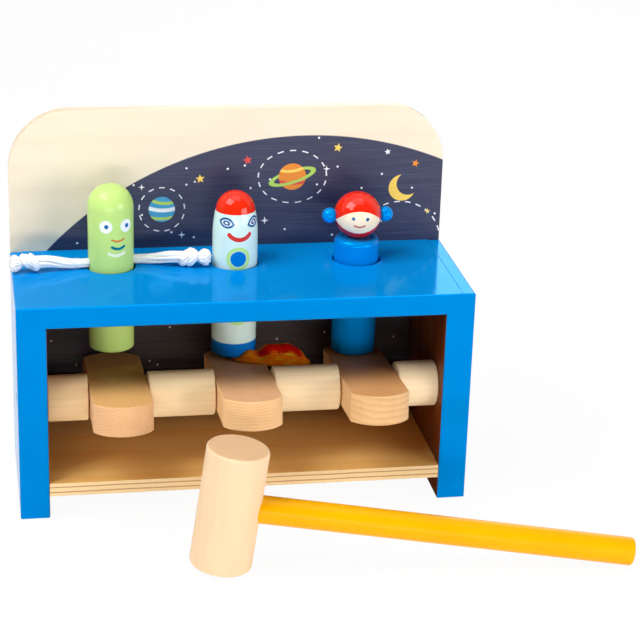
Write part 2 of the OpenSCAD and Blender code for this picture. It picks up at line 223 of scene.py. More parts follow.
def aimCamera(spec):
    yaw, pitch, roll = spec["yaw"], spec["pitch"], spec["roll"]
    right = Vector((math.cos(yaw), -math.sin(yaw), 0))
    ahead = Vector((math.sin(yaw) * math.cos(pitch), math.cos(yaw) * math.cos(pitch), -math.sin(pitch)))
    up = right.cross(ahead)
    level = right * math.cos(roll) + up * math.sin(roll)
    upright = up * math.cos(roll) - right * math.sin(roll)
    turn = Matrix((level, upright, -ahead)).transposed().to_4x4()
    lensData = bpy.data.cameras.new("photoCamera")
    lensData.lens = spec["lens"]
    lensData.sensor_width = spec["sensor"]
    lensData.sensor_fit = "HORIZONTAL"
    lensData.clip_start = spec["nearClip"]
    holder = addObject("photoCamera", lensData)
    holder.matrix_world = Matrix.Translation(spec["place"]) @ turn
    bpy.context.scene.camera = holder


aimCamera(camera)
print("camera set")


# lamps, world and floor

studio = {
    "worldLight": 0.05,
    "frontMirror": 0.2,             # how bright the room before the object looks in its gloss
    "mirrorRise": (-0.3, 0.15),     # from the front to the rear it turns white here
    "lamps": [
        {"name": "leftSoftbox", "at": (-0.74, -0.30, 1.18), "size": (0.9, 0.7), "power": 15.0},
        {"name": "rightSoftbox", "at": (0.84, -0.84, 0.27), "size": (0.75, 0.42), "power": 6.6},
        {"name": "overheadSoftbox", "at": (0.0, -0.10, 1.45), "size": (1.1, 0.9), "power": 5.4},
        {"name": "frontCard", "at": (-0.2, -1.25, 0.08), "size": (1.0, 0.14), "power": 3.7},
        {"name": "rearSoftbox", "at": (0.45, 1.15, 0.80), "size": (0.8, 0.8), "power": 6.5},
    ],
    "aim": (0.0, 0.0, 0.09),
    "floorSize": 8.0,
    "floorMatte": (0.94, 0.94, 0.94, 1),
    "floorWhite": 0.95,             # share of plain white the camera sees on the floor
}


def hangLamps(spec):
    for lamp in spec["lamps"]:
        data = bpy.data.lights.new(lamp["name"], "AREA")
        data.shape = "RECTANGLE"
        data.size, data.size_y = lamp["size"]
        data.energy = lamp["power"]
        facing = Vector(lamp["at"]) - Vector(spec["aim"])
        turn = facing.to_track_quat("Z", "Y").to_matrix().to_4x4()
        addObject(lamp["name"], data).matrix_world = Matrix.Translation(lamp["at"]) @ turn


def mirrorRays(rays):
    return calc("MAXIMUM", rays["Is Glossy Ray"], rays["Is Transmission Ray"])


def whitenRoom(spec):
    world = bpy.data.worlds.new("paleRoom")
    bpy.context.scene.world = world
    world.use_nodes = True
    tree = world.node_tree
    rays = put(tree, "ShaderNodeLightPath").outputs
    depth = split(put(tree, "ShaderNodeTexCoord").outputs["Generated"])[1]
    mirror = between(soften(depth, *spec["mirrorRise"]), spec["frontMirror"], 1.0)
    light = between(mirrorRays(rays), spec["worldLight"], mirror)
    room = tree.nodes["Background"].inputs
    feed(room["Color"], (1, 1, 1, 1))
    feed(room["Strength"], calc("MAXIMUM", light, rays["Is Camera Ray"]))


def layFloor(spec):
    bm = bmesh.new()
    bmesh.ops.create_grid(bm, x_segments=2, y_segments=2, size=spec["floorSize"] / 2)
    floor = meshObject("paleFloor", bm)
    material = bpy.data.materials.new("paleFloorWhite")
    material.use_nodes = True
    tree = material.node_tree
    tree.nodes.remove(tree.nodes["Principled BSDF"])
    rays = put(tree, "ShaderNodeLightPath").outputs
    seen = times(calc("MAXIMUM", rays["Is Camera Ray"], mirrorRays(rays)), spec["floorWhite"])
    matte = put(tree, "ShaderNodeBsdfDiffuse", {"Color": spec["floorMatte"]}).outputs[0]
    glow = put(tree, "ShaderNodeEmission", {"Color": (1, 1, 1, 1), "Strength": 1.0}).outputs[0]
    blend = put(tree, "ShaderNodeMixShader", {0: seen, 1: matte, 2: glow})
    feed(tree.nodes["Material Output"].inputs["Surface"], blend.outputs[0])
    floor.data.materials.append(material)


hangLamps(studio)
whitenRoom(studio)
layFloor(studio)
bpy.context.scene.view_settings.view_transform = "Standard"
print("studio lit")


# node groups that several finishes share; marks and figures are in millimetres

markPlace = {"U": 0.0, "V": 0.0, "X": 0.0, "Y": 0.0}


def fromMiddle(source):
    return minus(source["U"], source["X"]), minus(source["V"], source["Y"])


def turned(du, dv, cosine, sine):
    return timesPlus(du, cosine, times(dv, sine)), minus(times(dv, cosine), times(du, sine))


def turnedBy(du, dv, angle):
    return turned(du, dv, calc("COSINE", angle), calc("SINE", angle))


def reach(first, second):
    return calc("SQRT", timesPlus(first, first, times(second, second)))


def edgeMask(distance, soft=0.2):
    return calc("SUBTRACT", 0.5, over(distance, soft), clamp=True)


def makeInkDot():
    group, source, target = newGroup("inkDot", {
        **markPlace, "Width": 1.0, "Height": 1.0, "Turn": 0.0, "Soft": 0.16}, ["Mask"])
    across, along = turnedBy(*fromMiddle(source), source["Turn"])
    share = reach(over(across, source["Width"]), over(along, source["Height"]))
    least = calc("MINIMUM", source["Width"], source["Height"])
    feed(target["Mask"], edgeMask(times(minus(share, 1.0), least), source["Soft"]))
    return group


def makeInkArc():
    group, source, target = newGroup("inkArc", {
        **markPlace, "Radius": 3.0, "Half": 0.5, "Middle": 0.0, "Span": 0.6, "Soft": 0.16}, ["Mask"])
    across, along = turnedBy(*fromMiddle(source), minus(source["Middle"], math.pi / 2))
    side = size(across)
    sine, cosine = calc("SINE", source["Span"]), calc("COSINE", source["Span"])
    toEnd = reach(minus(side, times(source["Radius"], sine)), minus(along, times(source["Radius"], cosine)))
    toRing = size(minus(reach(side, along), source["Radius"]))
    inside = calc("LESS_THAN", times(side, cosine), times(along, sine))
    distance = minus(between(inside, toEnd, toRing), source["Half"])
    feed(target["Mask"], edgeMask(distance, source["Soft"]))
    return group


def makeInkStar():
    group, source, target = newGroup("inkStar", {
        **markPlace, "Radius": 3.0, "Inner": 0.45, "Points": 5.0, "Turn": 0.0, "Soft": 0.2}, ["Mask"])
    across, along = turnedBy(*fromMiddle(source), source["Turn"])
    far = reach(across, along)
    half = over(math.pi, source["Points"])
    # every point of the star is folded onto half of one
    fold = size(calc("WRAP", calc("ARCTAN2", across, along), half, times(half, -1.0)))
    inner = times(source["Radius"], source["Inner"])
    notch = times(inner, calc("SINE", half))
    fall = minus(source["Radius"], times(inner, calc("COSINE", half)))
    short = minus(times(far, calc("COSINE", fold)), source["Radius"])
    past = timesPlus(times(far, calc("SINE", fold)), fall, times(short, notch))
    feed(target["Mask"], edgeMask(over(past, reach(notch, fall)), source["Soft"]))
    return group


def makeInkOrbit():
    group, source, target = newGroup("inkOrbit", {
        **markPlace, "Width": 12.0, "Height": 12.0, "Turn": 0.0, "Half": 0.3, "Dashes": 14.0, "Fill": 0.5,
        "Soft": 0.2}, ["Mask"])
    across, along = turnedBy(*fromMiddle(source), source["Turn"])
    across, along = over(across, source["Width"]), over(along, source["Height"])
    least = calc("MINIMUM", source["Width"], source["Height"])
    away = times(size(minus(reach(across, along), 1.0)), least)
    line = edgeMask(minus(away, source["Half"]), source["Soft"])
    lap = calc("FRACT", times(over(calc("ARCTAN2", along, across), 2 * math.pi), source["Dashes"]))
    feed(target["Mask"], times(line, calc("LESS_THAN", lap, source["Fill"])))
    return group


def makePeelRound():
    # millimetres round a turned peg, from the side that faces the front, and its height
    group, source, target = newGroup("peelRound", {
        "Vector": None, "X": 0.0, "Y": 0.0, "Turn": 0.0, "Radius": 12.25}, ["U", "V"])
    x, y, z = split(source["Vector"])
    right = times(minus(x, source["X"]), 1000.0)
    ahead = times(minus(source["Y"], y), 1000.0)
    angle = minus(calc("ARCTAN2", right, ahead), source["Turn"])
    feed(target["U"], times(angle, source["Radius"]))
    feed(target["V"], times(z, 1000.0))
    return group


def makeWoodFigure():
    # growth rings, long fibre and the short brown flecks of beech, grain along X
    group, source, target = newGroup("woodFigure", {
        "Vector": None, "Pale": (0.8, 0.6, 0.4, 1.0), "Late": (0.6, 0.4, 0.2, 1.0),
        "Fleck": (0.4, 0.25, 0.12, 1.0), "Pith Y": 60.0, "Pith Z": 90.0, "Pitch": 2.2, "Wander": 4.0,
        "Ring Share": 0.5, "Fleck Share": 0.4}, ["Color", "Height", "Streak"])
    grain = inMillimetres(source["Vector"])
    y, z = split(grain)[1:3]
    far = reach(plus(y, source["Pith Y"]), plus(z, source["Pith Z"]))
    far = timesPlus(streaks(grain, 0.006, 0.035), source["Wander"], far)
    far = timesPlus(streaks(grain, 0.02, 0.24), 1.8, far)
    lap = calc("FRACT", over(far, source["Pitch"]))
    ring = times(soften(lap, 0.35, 0.9), opposite(soften(lap, 0.92, 1.0)))
    fibre = streaks(grain, 0.035, 1.5, 4.0, 0.65)
    broad = streaks(grain, 0.012, 0.09)
    fleck = soften(streaks(grain, 0.30, 2.3, 1.0), 0.655, 0.735)
    tone = plus(times(ring, source["Ring Share"]), times(minus(fibre, 0.42), 0.45))
    tone = calc("ADD", tone, times(minus(broad, 0.45), 0.7), clamp=True)
    wood = mixColor(tone, source["Pale"], source["Late"])
    feed(target["Color"], mixColor(times(fleck, source["Fleck Share"]), wood, source["Fleck"]))
    feed(target["Height"], minus(timesPlus(ring, 0.35, times(fibre, 0.6)), times(fleck, 0.3)))
    feed(target["Streak"], fibre)
    return group


def makePaintSkin():
    # sprayed paint: slow tone drift, faint peel, fibre showing through
    group, source, target = newGroup("paintSkin", {
        "Vector": None, "Ink": (0.5, 0.5, 0.5, 1.0), "Gloss": 0.2, "Fibre": 0.3,
    }, ["Color", "Rough", "Height"])
    grain = inMillimetres(source["Vector"])
    drift = noise(grain, 0.045)
    peel = noise(grain, 0.55)
    fibre = streaks(grain, 0.03, 0.9, 3.0, 0.6)
    feed(target["Color"], scaled(source["Ink"], timesPlus(minus(drift, 0.5), 0.16, 1.0)))
    feed(target["Rough"], timesPlus(minus(peel, 0.5), 0.08, source["Gloss"]))
    feed(target["Height"], timesPlus(fibre, source["Fibre"], times(peel, 0.4)))
    return group


def makePlyEdge():
    # veneers seen on a sawn edge, one dark and one light in turn
    group, source, target = newGroup("plyEdge", {
        "Vector": None, "Level": 0.0, "Count": 5.0, "Light": (0.8, 0.6, 0.4, 1.0),
        "Dark": (0.5, 0.3, 0.15, 1.0)}, ["Color", "Height"])
    grain = inMillimetres(source["Vector"])
    wave = times(minus(noise(grain, 0.05), 0.5), 0.35)
    ply = plus(times(source["Level"], source["Count"]), wave)
    turn = calc("FRACT", times(ply, 0.5))
    band = opposite(soften(size(minus(turn, 0.75)), 0.07, 0.16))
    glue = opposite(soften(size(minus(calc("PINGPONG", ply, 1.0), 0.5)), 0.38, 0.5))
    pores = noise(grain, 1.6)
    color = mixColor(band, source["Light"], source["Dark"])
    feed(target["Color"], mixColor(times(soften(pores, 0.5, 0.75), 0.25), color, source["Dark"]))
    feed(target["Height"], timesPlus(glue, 0.3, times(pores, 0.4)))
    return group


inks = {"dot": makeInkDot(), "arc": makeInkArc(), "star": makeInkStar(), "orbit": makeInkOrbit()}
peelRound, woodFigure = makePeelRound(), makeWoodFigure()
paintSkin, plyEdge = makePaintSkin(), makePlyEdge()
print("node groups ready")


# marks in ink, as values for those groups

white, navy = screen(250, 250, 250), screen(44, 48, 78)
sunOrange, paleYellow = screen(240, 140, 30), screen(255, 214, 90)
leafLime, skyTeal, coralRed = screen(180, 215, 90), screen(60, 160, 205), screen(225, 70, 60)


def dot(x, y, width, height=None, **more):
    return {"ink": "dot", "X": x, "Y": y, "Width": width, "Height": height or width, **more}


def arc(x, y, radius, half, span, color, **more):
    # a stroke that sags like a smile
    return {"ink": "arc", "X": x, "Y": y, "Radius": radius, "Half": half, "Middle": -1.57, "Span": span,
            "color": color, **more}


def orbit(x, y, width, height, dashes):
    return {"ink": "orbit", "X": x, "Y": y, "Width": width, "Height": height, "Dashes": dashes,
            "color": white}


def star(x, y, radius, points, turn, color):
    return {"ink": "star", "X": x, "Y": y, "Radius": radius, "Points": float(points), "Turn": turn,
            "Inner": 0.46 if points == 5 else 0.3, "color": color}


def inkMask(u, v, mark):
    values = {key: value for key, value in mark.items() if key[0].isupper()}
    mask = use(inks[mark["ink"]], {"U": u, "V": v, **values})["Mask"]
    for other in mark.get("within", ()):
        mask = times(mask, inkMask(u, v, other))
    for other in mark.get("without", ()):
        mask = times(mask, opposite(inkMask(u, v, other)))
    return mask


def inkAll(u, v, ground, marks):
    for mark in marks:
        ground = mixColor(inkMask(u, v, mark), ground, mark["color"])
    return ground


# wood finishes

beech = {
    "grain": "X", "shift": (0.0, 0.0, 0.0), "pale": screen(250, 213, 165), "late": (0.80, 0.67, 0.56),
    "fleck": (0.50, 0.36, 0.27), "pith": (60.0, 90.0), "pitch": 2.2, "ring": 0.4, "flecks": 0.3,
    "topShare": 1.0, "rough": 0.5, "relief": 0.00004, "endTint": screen(255, 255, 255),
    "topBounceTint": screen(255, 255, 255),
}
leverBeech = {"grain": "Y", "ring": 0.4, "flecks": 0.2, "topShare": 0.2, "relief": 0.00018}
spacerBeech = {"pitch": 3.6, "ring": 0.14, "flecks": 0.12}
dowelBeech = {"pith": (10.0, 14.0), "pitch": 1.4}
beechPieces = {
    "lever_left": {
        # the levers' top tints are painted warm bounce light on their tops; the middle one is reddened as by
        # light off the flame
        **leverBeech, "shift": (0.021, 0.01, 0.021), "pale": screen(235, 185, 134), "pith": (85.0, 330.0),
        "pitch": 1.5, "topBounceTint": (1.0, 0.95, 0.68, 1.0)},
    "lever_middle": {
        **leverBeech, "shift": (0.087, 0.01, 0.087), "pale": screen(250, 204, 149), "pith": (12.0, 330.0),
        "pitch": 1.7, "topBounceTint": (0.9, 0.79, 0.78, 1.0)},
    "lever_right": {
        **leverBeech, "shift": (0.143, 0.01, 0.143), "pale": screen(235, 191, 138), "pith": (8.0, 330.0),
        "pitch": 3.4, "ring": 0.45, "topBounceTint": (0.93, 0.73, 0.55, 1.0)},
    # painted shade: the spacers' pale tones get lighter from the left end to the right end, following how
    # light falls on them
    "spacer_left_end": {**spacerBeech, "pale": screen(254, 218, 166), "pith": (20.0, 45.0)},
    "spacer_left": {
        **spacerBeech, "shift": (0.05, 0.013, 0.02), "pale": screen(255, 229, 182), "pith": (29.0, 45.0)},
    "spacer_right": {
        **spacerBeech, "shift": (0.10, 0.026, 0.04), "pale": screen(255, 232, 190), "pith": (38.0, 45.0)},
    "spacer_right_end": {
        **spacerBeech, "shift": (0.15, 0.039, 0.06), "pale": screen(255, 233, 195), "pith": (47.0, 45.0)},
    "stop_rail": {"shift": (0.3, 0.02, 0.01)},
    "rail_dowels": {**dowelBeech, "shift": (0.5, 0.0, 0.03)},
    "axle": {**dowelBeech, "shift": (0.6, 0.0, 0.05)},
    "neck_pin": {**dowelBeech, "grain": "Z", "shift": (0.1, 0.0, 0.03)},
    "hammer_head": {
        "grain": "Z", "shift": (0.02, 0.31, 0.12), "pale": screen(248, 215, 174), "pith": (26.0, 20.0),
        "pitch": 5.0, "ring": 0.06, "flecks": 0.12, "endTint": screen(240, 226, 214)},
}
grainTurns = {"X": (0, 0, 0), "Y": (0, 0, -math.pi / 2), "Z": (0, math.pi / 2, 0)}


def alongGrain(coords, grain, shift=(0, 0, 0)):
    place = coords["Object"]
    return put(place.id_data, "ShaderNodeMapping", {
        "Vector": place, "Location": shift, "Rotation": grainTurns[grain]}).outputs[0]


def shared(color, shares):
    return (*(part * share for part, share in zip(color, shares)), 1.0)


def beechFinish(nodeName, piece):
    spec = {**beech, **piece}
    name = "beech" + "".join(word.title() for word in nodeName.split("_"))
    material, shader, coords = newMaterial(name, Roughness=spec["rough"], Specular_IOR_Level=0.25)
    normal = split(coords["Normal"])
    level = soften(size(normal[2]), 0.75, 0.92)
    keep = between(level, 1.0, spec["topShare"])        # rings hardly show on a lever's flat top
    figure = use(woodFigure, {
        "Vector": alongGrain(coords, spec["grain"], spec["shift"]), "Pale": spec["pale"],
        "Late": shared(spec["pale"], spec["late"]), "Fleck": shared(spec["pale"], spec["fleck"]),
        "Pith Y": spec["pith"][0], "Pith Z": spec["pith"][1], "Pitch": spec["pitch"],
        "Ring Share": times(keep, spec["ring"]), "Fleck Share": spec["flecks"]})
    ends = soften(size(normal["XYZ".index(spec["grain"])]), 0.8, 0.95)
    color = mixColor(ends, figure["Color"], spec["endTint"], "MULTIPLY")
    # painted light: the tops are tinted warmer and redder, standing in for bounce light from the wood and the
    # flame
    color = mixColor(level, color, spec["topBounceTint"], "MULTIPLY")
    rough = timesPlus(figure["Streak"], 0.18, spec["rough"] - 0.09)
    dress(shader, color, rough, times(figure["Height"], keep), spec["relief"])
    return material


for nodeName, piece in beechPieces.items():
    finishOn(beechFinish(nodeName, piece), nodeName)
print("beech finished")

shelfPly = {
    "figure": {"Pale": screen(255, 211, 129), "Late": screen(246, 183, 94), "Fleck": screen(192, 128, 58),
               "Pith Y": 12.0, "Pith Z": 300.0, "Pitch": 7.0, "Ring Share": 0.35, "Fleck Share": 0.25},
    "edgeLight": screen(250, 219, 164), "edgeDark": screen(200, 148, 92),
    "from": 13.0, "thick": 7.2, "plies": 5.0, "rough": 0.42, "shift": (0.2, 0.1, 0.04), "relief": 0.00008,
}


def sawnEdge(spec, vector, place):
    # the veneers of a board, counted through its thickness
    level = over(timesPlus(place, 1000.0, -spec["from"]), spec["thick"])
    return use(plyEdge, {"Vector": vector, "Level": level, "Count": spec["plies"],
                         "Light": spec["edgeLight"], "Dark": spec["edgeDark"]})


def plywoodFinish(name, spec):
    material, shader, coords = newMaterial(name, Roughness=spec["rough"], Specular_IOR_Level=0.4)
    vector = alongGrain(coords, "X", spec["shift"])
    figure = use(woodFigure, {"Vector": vector, **spec["figure"]})
    edge = sawnEdge(spec, vector, split(coords["Object"])[2])
    flat = soften(size(split(coords["Normal"])[2]), 0.6, 0.8)
    dress(shader, mixColor(flat, edge["Color"], figure["Color"]),
          timesPlus(figure["Streak"], 0.2, spec["rough"] - 0.1),
          between(flat, edge["Height"], figure["Height"]), spec["relief"])
    return material


finishOn(plywoodFinish("shelfPlywood", shelfPly), "shelf")


# the printed back panel: a dark sky field over pale plywood

printedPanel = {
    "figure": {"Pale": screen(248, 232, 205), "Late": screen(240, 220, 188), "Fleck": screen(222, 196, 156),
               "Pith Y": 400.0, "Pith Z": 10.0, "Pitch": 9.0, "Ring Share": 0.2, "Fleck Share": 0.2},
    "rear": {"Pale": screen(248, 232, 205), "Late": screen(222, 192, 150), "Fleck": screen(222, 196, 156),
             "Pith Y": 30.0, "Pith Z": -150.0, "Pitch": 8.0, "Wander": 26.0, "Ring Share": 0.5,
             "Fleck Share": 0.35},
    "shift": (0.4, 0.0, 0.2), "rearShift": (0.9, 0.0, 0.05), "navyPale": screen(78, 80, 106),
    "edgeLight": screen(240, 218, 186), "edgeDark": screen(206, 176, 138),
    "from": 40.5, "thick": 6.0, "plies": 5.0, "rough": 0.36, "relief": 0.00007,
    "warm": (1.12, 0.72, 0.40, 1.0), "bounceWarmTo": (120.0, 96.0),       # painted warm bounce light: the print is made browner behind the bay
    "dustScale": 0.05, "dustEdge": (0.034, 0.024),
    "field": dot(43.0, -14.0, 195.4, Soft=0.4),
}
ringTilt = math.radians(17)
ringedAt, stripedAt = (35.0, 158.0), (-37.0, 141.0)
ringedBody = dot(*ringedAt, 7.6)
stripedBody = dot(*stripedAt, 7.2)
# the lower half of the ring passes before its planet
ringFront = dot(ringedAt[0] + 60 * math.sin(ringTilt), ringedAt[1] - 60 * math.cos(ringTilt), 60.0)
ringHole = dot(*ringedAt, 10.6, 2.5, Turn=ringTilt)
ringBand = dot(*ringedAt, 13.6, 4.1, Turn=ringTilt, without=[ringHole], color=leafLime)
skyMarks = [
    orbit(*ringedAt, 19.0, 15.0, 17.0),
    orbit(*stripedAt, 12.5, 12.5, 13.0),
    orbit(96.0, 118.0, 24.0, 24.0, 24.0),
    ringBand,
    {**ringedBody, "color": sunOrange},
    arc(33.0, 178.0, 17.0, 0.8, 0.6, paleYellow, within=[ringedBody]),
    arc(36.0, 176.5, 22.5, 0.7, 0.6, coralRed, within=[ringedBody]),
    {**ringBand, "within": [ringFront]},
    {**stripedBody, "color": skyTeal},
    arc(-35.0, 160.0, 15.6, 0.9, 0.8, leafLime, within=[stripedBody]),
    arc(-36.0, 163.0, 22.6, 1.1, 0.8, white, within=[stripedBody]),
    arc(-37.0, 160.0, 24.4, 0.8, 0.8, leafLime, within=[stripedBody]),
    dot(97.0, 150.0, 7.6, color=paleYellow, without=[dot(100.4, 152.4, 6.6)]),      # the moon
    star(10.0, 168.0, 2.7, 5, 0.2, coralRed), star(60.0, 174.0, 2.6, 5, -0.2, paleYellow),
    star(56.0, 133.0, 2.4, 5, 0.3, sunOrange), star(-16.0, 158.0, 2.6, 5, 0.1, paleYellow),
    star(104.0, 164.0, 2.3, 5, -0.3, sunOrange), star(88.0, 171.0, 1.8, 5, 0.2, white),
    star(-60.0, 138.0, 2.2, 5, 0.4, leafLime), star(20.0, 133.0, 2.2, 4, 0.0, white),
    star(54.0, 162.0, 2.0, 4, 0.0, white), star(-26.0, 126.0, 2.0, 4, 0.0, white),
    star(86.0, 132.0, 2.2, 4, 0.0, white), star(112.0, 136.0, 1.8, 4, 0.0, paleYellow),
    star(-48.0, 154.0, 1.8, 4, 0.0, white), star(-78.0, 88.0, 1.9, 5, 0.2, paleYellow),
    star(-32.0, 84.0, 1.7, 4, 0.0, white), star(34.0, 90.0, 1.9, 5, 0.4, leafLime),
    star(88.0, 84.0, 1.8, 5, 0.0, sunOrange), star(96.0, 40.0, 1.7, 4, 0.0, white),
    star(-96.0, 38.0, 1.7, 4, 0.0, white), star(-4.0, 30.0, 1.7, 5, 0.2, paleYellow),
]


def skyPicture(spec, u, v, figure):
    sky = mixColor(soften(figure["Streak"], 0.40, 0.95), navy, spec["navyPale"])
    # painted bounce light: the sky is made browner low down, behind the bay
    sky = mixColor(soften(v, *spec["bounceWarmTo"]), sky, spec["warm"], "MULTIPLY")
    flat = put(u.id_data, "ShaderNodeCombineXYZ", {0: u, 1: v}).outputs[0]
    dust = put(u.id_data, "ShaderNodeTexVoronoi", {
        "Vector": flat, "Scale": spec["dustScale"], "Randomness": 1.0}, voronoi_dimensions="2D")
    sky = mixColor(soften(dust.outputs["Distance"], *spec["dustEdge"]), sky, white)
    sky = inkAll(u, v, sky, skyMarks)
    return mixColor(inkMask(u, v, spec["field"]), figure["Color"], sky)


def printedFinish(name, spec):
    material, shader, coords = newMaterial(name, Roughness=spec["rough"], Specular_IOR_Level=0.45)
    vector = alongGrain(coords, "X", spec["shift"])
    figure = use(woodFigure, {"Vector": vector, **spec["figure"]})
    rear = use(woodFigure, {"Vector": alongGrain(coords, "X", spec["rearShift"]), **spec["rear"]})
    x, y, z = split(coords["Object"])
    edge = sawnEdge(spec, vector, y)
    facing = split(coords["Normal"])[1]
    face = calc("GREATER_THAN", size(facing), 0.7)
    color = mixColor(face, edge["Color"], rear["Color"])
    picture = skyPicture(spec, times(x, 1000.0), times(z, 1000.0), figure)
    dress(shader, mixColor(calc("LESS_THAN", facing, -0.7), color, picture),
          timesPlus(figure["Streak"], 0.22, spec["rough"] - 0.1),
          between(face, edge["Height"], figure["Height"]), spec["relief"])
    return material


finishOn(printedFinish("printedPlywood", printedPanel), "back_panel")
print("plywood and print finished")


# paint finishes

benchPaint = {
    "blue": screen(0, 134, 215), "topSheenBlue": screen(0, 149, 231), "gloss": 0.11, "fibre": 0.25,
    "shine": (0.0, 0.8, 1.0, 1.0), "tinted": 0.11, "topTinted": 0.18,      # it mirrors mostly in its own blue
    "wood": {"Pale": screen(114, 58, 24), "Late": screen(90, 40, 16), "Fleck": screen(72, 32, 14),
             "Pith Y": 60.0, "Pith Z": 250.0, "Pitch": 5.0, "Ring Share": 0.4},
    "woodShift": (0.1, 0.0, 0.3), "woodRough": 0.24, "inside": 104.75, "under": 107.65,
    "footTo": 13.0, "footRough": 0.9,
    "seam": 113.0, "seamHalf": 0.16, "seamFrom": 118.5, "seamBlue": screen(0, 50, 110), "seamShare": 0.35,
    "seamDeep": 1.5, "relief": 0.00005,
}


def paintFinish(name, color, gloss, grain, shift=(0, 0, 0), fibre=0.3, relief=0.00004, **constants):
    # colour may be a plain ink or a function that draws the marks
    material, shader, coords = newMaterial(name, **{"Specular_IOR_Level": 0.3, **constants})
    skin = use(paintSkin, {"Vector": alongGrain(coords, grain, shift), "Gloss": gloss, "Fibre": fibre,
                           "Ink": color(coords) if callable(color) else color})
    dress(shader, skin["Color"], skin["Rough"], skin["Height"], relief)
    return material


def benchFinish(spec):
    material, shader, coords = newMaterial("benchBlue", Specular_IOR_Level=0.03, Specular_Tint=spec["shine"])
    place = split(coords["Object"])
    right, high = times(place[0], 1000.0), times(place[2], 1000.0)
    up = soften(split(coords["Normal"])[2], 0.5, 0.9)       # the top mirrors more in its own blue, and its lighter blue is painted sheen
    # painted sheen: the upward faces get a lighter blue than the sides
    skin = use(paintSkin, {"Vector": alongGrain(coords, "X"), "Gloss": spec["gloss"], "Fibre": spec["fibre"],
                           "Ink": mixColor(up, spec["blue"], spec["topSheenBlue"])})
    wood = use(woodFigure, {"Vector": alongGrain(coords, "Z", spec["woodShift"]), **spec["wood"]})
    # no paint inside the bay
    bare = times(calc("LESS_THAN", size(right), spec["inside"]), calc("LESS_THAN", high, spec["under"]))
    seam = edgeMask(minus(size(minus(right, spec["seam"])), spec["seamHalf"]))
    seam = times(seam, calc("GREATER_THAN", high, spec["seamFrom"]))
    color = mixColor(times(seam, spec["seamShare"]), skin["Color"], spec["seamBlue"])
    foot = calc("LESS_THAN", high, spec["footTo"])          # below the shelf the bare wood is dull
    woodRough = between(foot, spec["woodRough"], spec["footRough"])
    tinted = between(up, spec["tinted"], spec["topTinted"])
    feed(shader.inputs["Metallic"], times(tinted, opposite(bare)))
    height = minus(between(bare, skin["Height"], wood["Height"]), times(seam, spec["seamDeep"]))
    dress(shader, mixColor(bare, color, wood["Color"]), between(bare, skin["Rough"], woodRough), height,
          spec["relief"])
    return material


benchBlue = benchFinish(benchPaint)
finishOn(benchBlue, "left_side_panel", "right_side_panel", "top_plate")

# filler that closes the joint between the top and each side on the front, under the paint
jointFiller = {"from": 0.1052, "to": 0.1131, "low": 0.1072, "high": 0.1087, "front": -0.04652, "deep": 0.0016,
               "round": 0.00012}


def makeFiller(spec):
    long, tall, deep = spec["to"] - spec["from"], spec["high"] - spec["low"], spec["deep"]
    middle = (spec["from"] + spec["to"]) / 2
    bm = bmesh.new()
    for side in (-1, 1):
        made = bmesh.ops.create_cube(bm, size=1.0)["verts"]
        bmesh.ops.scale(bm, verts=made, vec=(long, deep, tall))
        place = (side * middle, spec["front"] + deep / 2, (spec["low"] + spec["high"]) / 2)
        bmesh.ops.translate(bm, verts=made, vec=place)
    bmesh.ops.bevel(bm, geom=bm.edges[:], offset=spec["round"], affect="EDGES", segments=2, profile=0.5,
                    material=-1)
    filler = meshObject("jointFiller", bm)
    filler.data.materials.append(benchBlue)
    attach(filler, "bench")


makeFiller(jointFiller)

eyeBlue = screen(0, 104, 168)
alien = {
    "x": -0.067, "y": 0.014, "turn": math.radians(12), "lime": screen(198, 232, 130), "gloss": 0.16,
    "marks": [
        dot(-6.1, 144.8, 3.5, color=white),
        dot(5.5, 144.8, 3.6, 3.5, color=white),
        dot(-5.8, 144.9, 1.15, 1.2, color=eyeBlue),
        dot(5.9, 144.9, 1.15, 1.2, color=eyeBlue),
        arc(0.5, 143.4, 6.6, 0.5, 0.52, screen(214, 126, 36)),
        arc(0.2, 139.6, 2.9, 0.5, 0.45, screen(224, 122, 30)),
        arc(0.6, 138.1, 5.6, 0.75, 0.64, screen(0, 118, 140)),
        arc(-0.2, 136.8, 8.0, 0.8, 0.56, screen(240, 248, 216)),
    ],
}
almond = {"wide": 5.0, "tall": 2.9, "rim": 1.12, "rimSide": 1.4, "iris": (2.3, 1.35), "white": 0.42,
          "blue": screen(0, 96, 150)}


def almondEye(x, y, turn, spec=almond):
    # two overlapping rounds make a pointed eye, with a smaller one inside for its white
    marks = []
    for inset, color in ((0.0, spec["blue"]), (spec["rim"], white)):
        half, high = spec["wide"] - spec["rimSide"] * inset, spec["tall"] - inset
        radius = (half * half + high * high) / (2 * high)
        step = radius - high
        upper, lower = [dot(x - side * step * math.sin(turn), y + side * step * math.cos(turn), radius)
                        for side in (1, -1)]
        marks.append({**upper, "within": [lower], "color": color})
    wide, tall = spec["iris"]
    for share, color in ((1.0, spec["blue"]), (spec["white"], white)):
        marks.append(dot(x, y, wide * share, tall * share, Turn=turn, color=color))
    return marks


